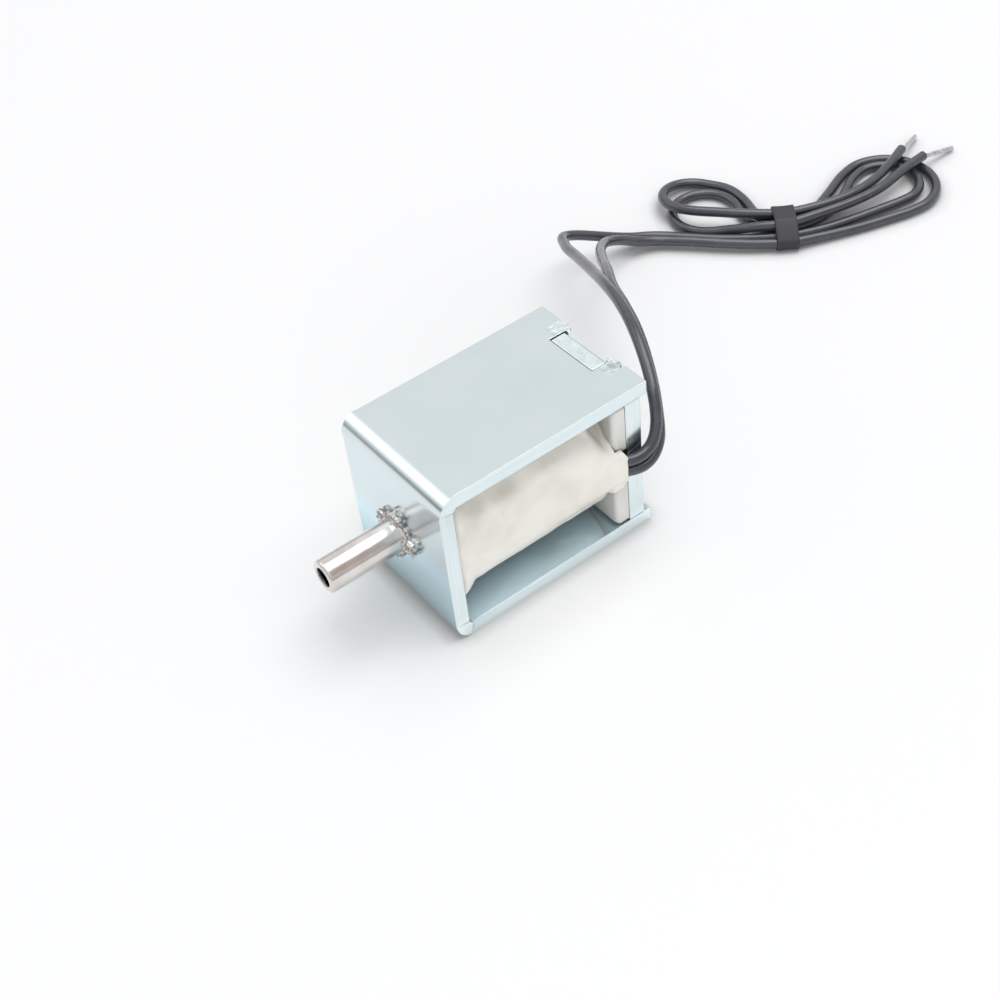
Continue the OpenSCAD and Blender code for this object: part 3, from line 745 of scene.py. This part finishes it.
def coil_outline(step):
    """Points and outward normals round the coil's section, from the lower end of its +X side."""
    w, h, r = COIL
    pieces = [("line", (w, -(h - r)), (w, h - r), (1, 0)), ("arc", (w - r, h - r), 0, 90),
              ("line", (w - r, h), (-(w - r), h), (0, 1)), ("arc", (-(w - r), h - r), 90, 180),
              ("line", (-w, h - r), (-w, -(h - r)), (-1, 0)), ("arc", (-(w - r), -(h - r)), 180, 270),
              ("line", (-(w - r), -h), (w - r, -h), (0, -1)), ("arc", (w - r, -(h - r)), 270, 360)]
    points = []
    for piece in pieces:
        if piece[0] == "line":
            (x0, z0), (x1, z1), n = piece[1:]
            count = max(1, round(math.hypot(x1 - x0, z1 - z0) / step))
            points += [((x0 + (x1 - x0) * i / count, z0 + (z1 - z0) * i / count), n) for i in range(count)]
        else:
            (cx, cz), a0, a1 = piece[1:]
            count = max(2, round(r * math.radians(a1 - a0) / step))
            for i in range(count):
                a = math.radians(a0 + (a1 - a0) * i / count)
                points.append(((cx + r * math.cos(a), cz + r * math.sin(a)), (math.cos(a), math.sin(a))))
    return points


def lead_cover(y):
    """Outer side of the leads at a station, with room for the tape."""
    centre = COVER_X + COVER_STEP * ease(y, *COVER_STEP_Y) + COVER_SLOPE * max(0.0, y - COVER_STEP_Y[1])
    return centre + LEAD_D / 2 + COVER_ROOM


def pressed_in(y, height):
    """How deep the dents of the hand wrapping are at a place."""
    return sum(depth * math.exp(-((y - cy) / ry) ** 2 - ((height - cz) / rz) ** 2)
               for (cy, cz), (ry, rz), depth in DENTS)


def hand_wrapped(y, height):
    """Dents and folds that hand wrapping leaves on the leads' side."""
    out = -pressed_in(y, height)
    for (y0, z0), (y1, z1), width, rise in FOLDS:
        dy, dz = y1 - y0, z1 - z0
        t = min(1.0, max(0.0, ((y - y0) * dy + (height - z0) * dz) / (dy * dy + dz * dz)))
        away = math.hypot(y - y0 - t * dy, height - z0 - t * dz)
        out += rise * math.exp(-(away / width) ** 2)
    return out


def wrapped_out(x, y, height, n, soft, fine):
    """How far the tape stands off the coil, before the tent."""
    crease = 1 - abs(noise.noise(Vector((x * 0.5 + 3, y * 0.45 + height * 0.35, height * 0.5 + 9))))
    out = SOFT * soft + FINE * fine + CREASE * max(0.0, crease - CREASE_FROM) / (1 - CREASE_FROM)
    out += ease(x, *LEAD_SIDE_X) * (hand_wrapped(y, height) + SLACK * ease(height, *SLACK_Z))
    held = HELD_SHARE + (1 - HELD_SHARE) * ease(y, *HELD_Y)
    out = max(-SINK, out) * held * (1 - TIGHT_BELOW * max(0.0, -n[1]))
    in_corner = abs(n[0]) + abs(n[1]) - 1
    out += (COIL[2] - FLARE_R) * in_corner * min(1.0, max(0.0, (-y - FLARE_START) / FLARE_L))
    return out + LIP * ease(y, *LIP_Y) ** 2 * ease(x, *LIP_X) * ease(height, *LIP_Z)


def tented_out(px, x, y, height, soft, fine):
    """The tape's x where it lies over the lead joints, the leads and the rear flange's side."""
    rise = JOINT_RISE * ease(y, 0.5 * soft, JOINT_END_Y) + LEAD_RISE * ease(y, *LEAD_RISE_Y)
    low = TENT_LOW - TENT_LOW_DROP * (1 - ease(y, *TENT_LOW_Y))
    high = TENT_HIGH + TENT_HIGH_RISE * (1 - ease(y, *TENT_HIGH_Y))
    spread = ease(height, low - TENT_LOW_FADE, TENT_LOW_FULL)
    spread *= 1 - ease(height, TENT_HIGH_FULL, high + TENT_HIGH_FADE)
    cover = lead_cover(y)
    full_rise = JOINT_RISE + LEAD_RISE
    roof = min(cover, COIL[0] + rise + (cover - COIL[0] - full_rise) * ease(y, *ROOF_Y))
    roof += ROOF_ROUGH * fine * ease(y, *ROOF_ROUGH_Y)
    px += max(0.0, roof - px) * spread
    if y > FLAP_START:
        inside = ease(height, *FLAP_LOW_Z) * (1 - ease(height, *FLAP_HIGH_Z))
        px += max(0.0, FLANGE_SIDE + FLAP_ROOM - px) * ease(y, *FLAP_RISE_Y) * inside
    pull = ease(y, *PULL_Y) * ease(x, *PULL_X) * ease(height, *PULL_LOW_Z) * (1 - ease(height, *PULL_HIGH_Z))
    return px + max(0.0, FLANGE_SIDE - PULL_IN - px) * pull


def tape_point(x, z, n, y):
    """Where the tape lies, in metres, above a point of the coil's section and its normal."""
    height = z + AXIS_Z
    soft = noise.noise(Vector((x * 0.33, y * 0.30, height * 0.33)))
    fine = noise.noise(Vector((x * 0.9 + 7, y * 0.75, height * 0.9)))
    out = wrapped_out(x, y, height, n, soft, fine)
    up = min(out, TOP_ROOM) if abs(n[1]) > 0.9 else out
    px, pz = x + n[0] * out, z + n[1] * up
    if x > TENT_X:
        px = tented_out(px, x, y, height, soft, fine)
    return Vector((px, y, pz + AXIS_Z)) * MM


def flap_end(height):
    """Where the flap ends: slanted at its corners, and shorter where it lies over the leads."""
    over_leads = ease(height, *OVER_LOW_Z) * (1 - ease(height, *OVER_HIGH_Z))
    slant_high = FLAP_SLANT * ease(height, *SLANT_HIGH_Z)
    slant_low = FLAP_SLANT * (1 - ease(height, *SLANT_LOW_Z))
    return FLAP_END - FLAP_SHORTER * over_leads - slant_high - slant_low


def build_tape():
    ring = coil_outline(TAPE_STEP)
    bm = bmesh.new()
    dent = bm.verts.layers.float.new("dent")
    grid = []
    for i in range(TAPE_ROWS + FLAP_ROWS + 1):
        row = {}
        for k, ((x, z), n) in enumerate(ring):
            height = z + AXIS_Z
            front = TAPE_FRONT + FRONT_STEP * (1 - ease(height, *FRONT_STEP_Z))
            if i <= TAPE_ROWS:
                y = front + (TAPE_BACK - front) * i / TAPE_ROWS
            elif x > TENT_X and FLAP_LOW_Z[1] <= height <= FLAP_HIGH_Z[0]:
                y = TAPE_BACK + (flap_end(height) - TAPE_BACK) * (i - TAPE_ROWS) / FLAP_ROWS
            else:
                continue
            row[k] = bm.verts.new(tape_point(x, z, n, y))
            # How dented the tape is here, which makes it greyer and darker: partly its tone, partly painted
            # shade.
            row[k][dent] = min(1.0, DENT_SHADE * pressed_in(y, height)) if x > 0 else 0.0
        grid.append(row)
    for lower, upper in zip(grid, grid[1:]):
        for k in range(len(ring)):
            m = (k + 1) % len(ring)
            if all(c in row for row in (lower, upper) for c in (k, m)):
                bm.faces.new((lower[k], upper[k], upper[m], lower[m]))
    obj = from_bmesh(bm, "tape_wrap")
    place(obj, "tape", ROOT, "coil_tape")
    skin = obj.modifiers.new("thickness", "SOLIDIFY")
    skin.thickness = TAPE_T * MM
    skin.offset = -1
    smooth(obj.data, 60)


build_tape()


# Nozzle: one turned piece with its core, its rim crushed outwards in lugs

NOZZLE_R, BORE_R, NECK_R, CORE_R, SEAT_R, ORIFICE_R = 1.425, 0.8, 1.75, 2.5, 1.0, 0.4
NOZZLE_L, SHEET_T, CORE_L, SEAT_H, SEAT_WALL = 7.2, 1.25, 6.75, 0.3, 0.8
NOZZLE_ROUND, NOZZLE_SIDES = 0.26, 240
FRONT_Y = -10.0
LUG_TURN, LUG_HALF = -8, (16, 27)
RIM_R, RIM_H, LUG_R, LUG_H = 1.86, 0.30, 0.54, 0.30


def lug_at(degrees):
    """How far a direction round the nozzle lies in a lug: 1 in its middle, 0 outside."""
    off = abs((degrees - LUG_TURN + 45) % 90 - 45)
    return 1 - ease(off, *LUG_HALF)


def nozzle_profile(degrees):
    """Radius and distance in front of the yoke, once round the section of one direction."""
    lug = lug_at(degrees)
    a = math.radians(degrees)
    ragged = noise.noise(Vector((2.2 * math.cos(a), 2.2 * math.sin(a), 0.7)))
    bumpy = noise.noise(Vector((5 * math.cos(a), 5 * math.sin(a), 4.1)))
    rim = RIM_R + LUG_R * lug + 0.07 * ragged + 0.05 * bumpy
    top = RIM_H + LUG_H * lug + 0.06 * bumpy
    core_end = -SHEET_T - CORE_L
    profile = [(BORE_R, NOZZLE_L - 0.35), (BORE_R, NOZZLE_L - 0.13), (BORE_R + 0.04, NOZZLE_L - 0.04),
               (BORE_R + 0.12, NOZZLE_L)]
    for t in (math.radians(90 - 15 * i) for i in range(7)):
        profile.append((NOZZLE_R - NOZZLE_ROUND + NOZZLE_ROUND * math.cos(t),
                        NOZZLE_L - NOZZLE_ROUND + NOZZLE_ROUND * math.sin(t)))
    profile += [(NOZZLE_R, out) for out in (5.4, 3.8, 2.2, 1.1, top + 0.16)]
    profile += [(NOZZLE_R + 0.015, top + 0.08), (NOZZLE_R + 0.06, top + 0.03), (NOZZLE_R + 0.13, top),
                ((NOZZLE_R + rim) / 2, top + 0.04 * ragged), (rim - 0.16, top + 0.05 * ragged),
                (rim - 0.05, top - 0.05), (rim, top - 0.15), (rim + 0.03 * lug, (top - 0.03) / 2),
                (rim + 0.02 * lug, 0.12), (rim - 0.04, 0.0), (NECK_R, 0.0), (NECK_R, -SHEET_T),
                (CORE_R, -SHEET_T), (CORE_R, core_end), (SEAT_R, core_end), (SEAT_R, core_end - SEAT_H),
                (ORIFICE_R, core_end - SEAT_H), (ORIFICE_R, core_end + SEAT_WALL),
                (BORE_R, core_end + SEAT_WALL), (BORE_R, 2.0)]
    return profile


def build_nozzle():
    bm = bmesh.new()
    rows = []
    for i in range(NOZZLE_SIDES):
        degrees = 360 * i / NOZZLE_SIDES
        a = math.radians(degrees)
        lug = lug_at(degrees)
        row = []
        for r, out in nozzle_profile(degrees):
            if r > NOZZLE_R + 0.05 and out > 0.05:
                rough = noise.noise(Vector((r * math.cos(a), out, r * math.sin(a))) * 2.6)
                r, out = r + rough * (0.06 + 0.16 * lug), out + 0.22 * rough * lug
            row.append(bm.verts.new(Vector((r * math.cos(a), FRONT_Y - out, AXIS_Z + r * math.sin(a))) * MM))
        rows.append(row)
    join_rows(bm, zip(rows, rows[1:] + rows[:1]))
    bmesh.ops.recalc_face_normals(bm, faces=bm.faces)
    obj = from_bmesh(bm, "nozzle")
    place(obj, "nickel", ROOT, "nozzle_core")
    smooth(obj.data, 38)


build_nozzle()


# Moving parts and what lies round them

dressed("plunger", "plunger_body_turned", "plunger_steel", PLUNGER, 0.06)
dressed("plunger_seal", "seal_plug", "black_rubber", PLUNGER, 0.08)
dressed("rear_bumper", "bumper_ring", "black_rubber", ROOT, 0.1)

SPRING_D, SPRING_WIRE, SPRING_TURNS = 3.2, 0.3, 5
SPRING_SPAN = (-1.83, 1.43)
SPRING_STEPS, SPRING_SIDES = 40, 12


def build_spring():
    """Turns of even pitch."""
    points = []
    steps = SPRING_TURNS * SPRING_STEPS
    length = SPRING_SPAN[1] - SPRING_SPAN[0]
    for i in range(steps + 1):
        t = i / steps
        a = 2 * math.pi * SPRING_TURNS * t
        along = SPRING_SPAN[0] + length * t
        points.append(Vector((SPRING_D / 2 * math.cos(a), along, AXIS_Z + SPRING_D / 2 * math.sin(a))) * MM)
    bm = bmesh.new()
    tube(bm, points, SPRING_WIRE / 2 * MM, SPRING_SIDES)
    obj = from_bmesh(bm, "spring_coil")
    place(obj, "spring_steel", ROOT, "return_spring")
    smooth(obj.data, 60)
    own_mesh(obj)


build_spring()


# Stage: floor, room, lamps and camera

FLOOR_HALF = 0.29
# The floor's grey, and the grey, reach and occlusion range of its painted contact shadow
FLOOR_GREY, PAINTED_CONTACT_SHADOW_GREY = (0.84, 0.84, 0.84), (0.50, 0.50, 0.50)
CONTACT_REACH, CONTACT_SHARE = 0.0016, (0.45, 0.95)
SEEN_GLOW, MIRRORED_GLOW = 0.05, 0.10
ROOM_LOW, ROOM_HIGH, ROOM_RISE = (0.50, 0.50, 0.51), (0.92, 0.93, 0.94), (0.0, 0.5)
EVEN_LIGHT, EVEN_STRENGTH = (0.97, 0.98, 1.0, 1), 0.62
BACKGROUND, BACKGROUND_STRENGTH = (1, 1, 1, 1), 0.985

# Panels that the metal mirrors: direction, inner and outer angle in degrees, and colour

PANELS = [
    ((-0.60, 0.38, 0.70), 16, 40, (0.96, 0.96, 0.96)),
    ((-0.60, -0.40, 0.69), 8, 27, (1.6, 1.6, 1.6)),
    ((-0.60, -0.78, 0.15), 1, 8, (0.28, 0.29, 0.30)),
    ((0.72, 0.38, 0.57), 9, 27, (0.57, 0.50, 0.46)),
]
AZIMUTH, ELEVATION, ROLL = (math.radians(degrees) for degrees in (57.559, 44.681, -7.256))
CAMERA_PLACE = (78.35, -50.29, 96.35)
SENSOR, LENS_RATIO = 36, 1.606839


def build_stage():
    """A plain pale floor that keeps the shadow, with a painted contact shadow that darkens it where
    something stands on it.
    """
    s = FLOOR_HALF
    mesh = bpy.data.meshes.new("floor")
    mesh.from_pydata([(-s, -s, 0), (s, -s, 0), (s, s, 0), (-s, s, 0)], [], [(0, 1, 2, 3)])
    floor = bpy.data.objects.new("floor", mesh)
    scene.collection.objects.link(floor)
    material = bpy.data.materials.new("floor")
    material.use_nodes = True
    tree = material.node_tree
    tree.nodes.clear()
    # Painted contact shadow: the floor's colour darkens close to anything that stands on it.
    near = add_node(tree, "ShaderNodeAmbientOcclusion", samples=8)
    near.inputs["Distance"].default_value = CONTACT_REACH
    painted_shadow_floor_colour = ramped(tree, near.outputs["AO"], list(zip(CONTACT_SHARE, (PAINTED_CONTACT_SHADOW_GREY, FLOOR_GREY))))
    diffuse = add_node(tree, "ShaderNodeBsdfDiffuse", painted_shadow_floor_colour)
    path = add_node(tree, "ShaderNodeLightPath")
    seen = add_node(tree, "ShaderNodeMath", path.outputs["Is Camera Ray"], SEEN_GLOW, operation="MULTIPLY")
    strength = add_node(tree, "ShaderNodeMath", path.outputs["Is Glossy Ray"], MIRRORED_GLOW,
                        seen.outputs[0], operation="MULTIPLY_ADD")
    glow = add_node(tree, "ShaderNodeEmission", (1, 1, 1, 1), strength.outputs[0])
    both = add_node(tree, "ShaderNodeAddShader", diffuse.outputs[0], glow.outputs[0])
    add_node(tree, "ShaderNodeOutputMaterial", both.outputs[0])
    mesh.materials.append(material)


def build_world():
    """A plain pale room: even light on the surfaces, and panels and dark corners for the metal to mirror."""
    world = bpy.data.worlds.new("studio")
    scene.world = world
    world.use_nodes = True
    tree = world.node_tree
    tree.nodes.clear()
    way = add_node(tree, "ShaderNodeTexCoord").outputs["Generated"]
    height = add_node(tree, "ShaderNodeSeparateXYZ", way).outputs["Z"]
    rise = add_node(tree, "ShaderNodeMapRange", height, *ROOM_RISE, interpolation_type="SMOOTHSTEP")
    room = mixed(tree, "MIX", rise.outputs[0], ROOM_LOW, ROOM_HIGH)
    for toward, inner, outer, colour in PANELS:
        aim = add_node(tree, "ShaderNodeVectorMath", way, Vector(toward).normalized(),
                       operation="DOT_PRODUCT")
        edge, core = math.cos(math.radians(outer)), math.cos(math.radians(inner))
        mask = add_node(tree, "ShaderNodeMapRange", aim.outputs["Value"], edge, core,
                        interpolation_type="SMOOTHSTEP")
        room = mixed(tree, "MIX", mask.outputs[0], room, colour)
    path = add_node(tree, "ShaderNodeLightPath")
    mirrored = add_node(tree, "ShaderNodeBackground", room, 1.0)
    even = add_node(tree, "ShaderNodeBackground", EVEN_LIGHT, EVEN_STRENGTH)
    behind = add_node(tree, "ShaderNodeBackground", BACKGROUND, BACKGROUND_STRENGTH)
    light = add_node(tree, "ShaderNodeMixShader", path.outputs["Is Glossy Ray"], even.outputs[0],
                     mirrored.outputs[0])
    seen = add_node(tree, "ShaderNodeMixShader", path.outputs["Is Camera Ray"], light.outputs[0],
                    behind.outputs[0])
    add_node(tree, "ShaderNodeOutputWorld", seen.outputs[0])


def area(name, place_mm, aim_mm, size_mm, power, mirrored=True):
    """A rectangular lamp turned to what it lights, seen in the metal unless mirrored is off."""
    light = bpy.data.lights.new(name, "AREA")
    light.shape = "RECTANGLE"
    light.size, light.size_y = size_mm[0] * MM, size_mm[1] * MM
    light.energy = power
    obj = bpy.data.objects.new(name, light)
    scene.collection.objects.link(obj)
    obj.visible_glossy = mirrored
    obj.location = Vector(place_mm) * MM
    obj.rotation_euler = (Vector(aim_mm) - Vector(place_mm)).to_track_quat("-Z", "Y").to_euler()


def build_camera():
    """The camera at its fitted place, looking down and a little rolled."""
    back = Vector((math.sin(AZIMUTH) * math.cos(ELEVATION), -math.cos(AZIMUTH) * math.cos(ELEVATION),
                   math.sin(ELEVATION)))
    right = Vector((math.cos(AZIMUTH), math.sin(AZIMUTH), 0))
    up = back.cross(right)
    across = math.cos(ROLL) * right + math.sin(ROLL) * up
    rise = math.cos(ROLL) * up - math.sin(ROLL) * right
    matrix = Matrix((across, rise, back)).transposed().to_4x4()
    matrix.translation = Vector(CAMERA_PLACE) * MM
    data = bpy.data.cameras.new("camera")
    data.sensor_width = SENSOR
    data.lens = LENS_RATIO * SENSOR
    data.clip_start = 0.001
    camera = bpy.data.objects.new("camera", data)
    camera.matrix_world = matrix
    scene.collection.objects.link(camera)
    scene.camera = camera


build_stage()
build_world()
area("overhead", (10, 400, 1450), (10, 30, 0), (1300, 1400), 13.6)
area("fill", (350, -222, 130), (0, 0, 7), (300, 240), 0.36, mirrored=False)
build_camera()
scene.view_settings.view_transform = "Standard"
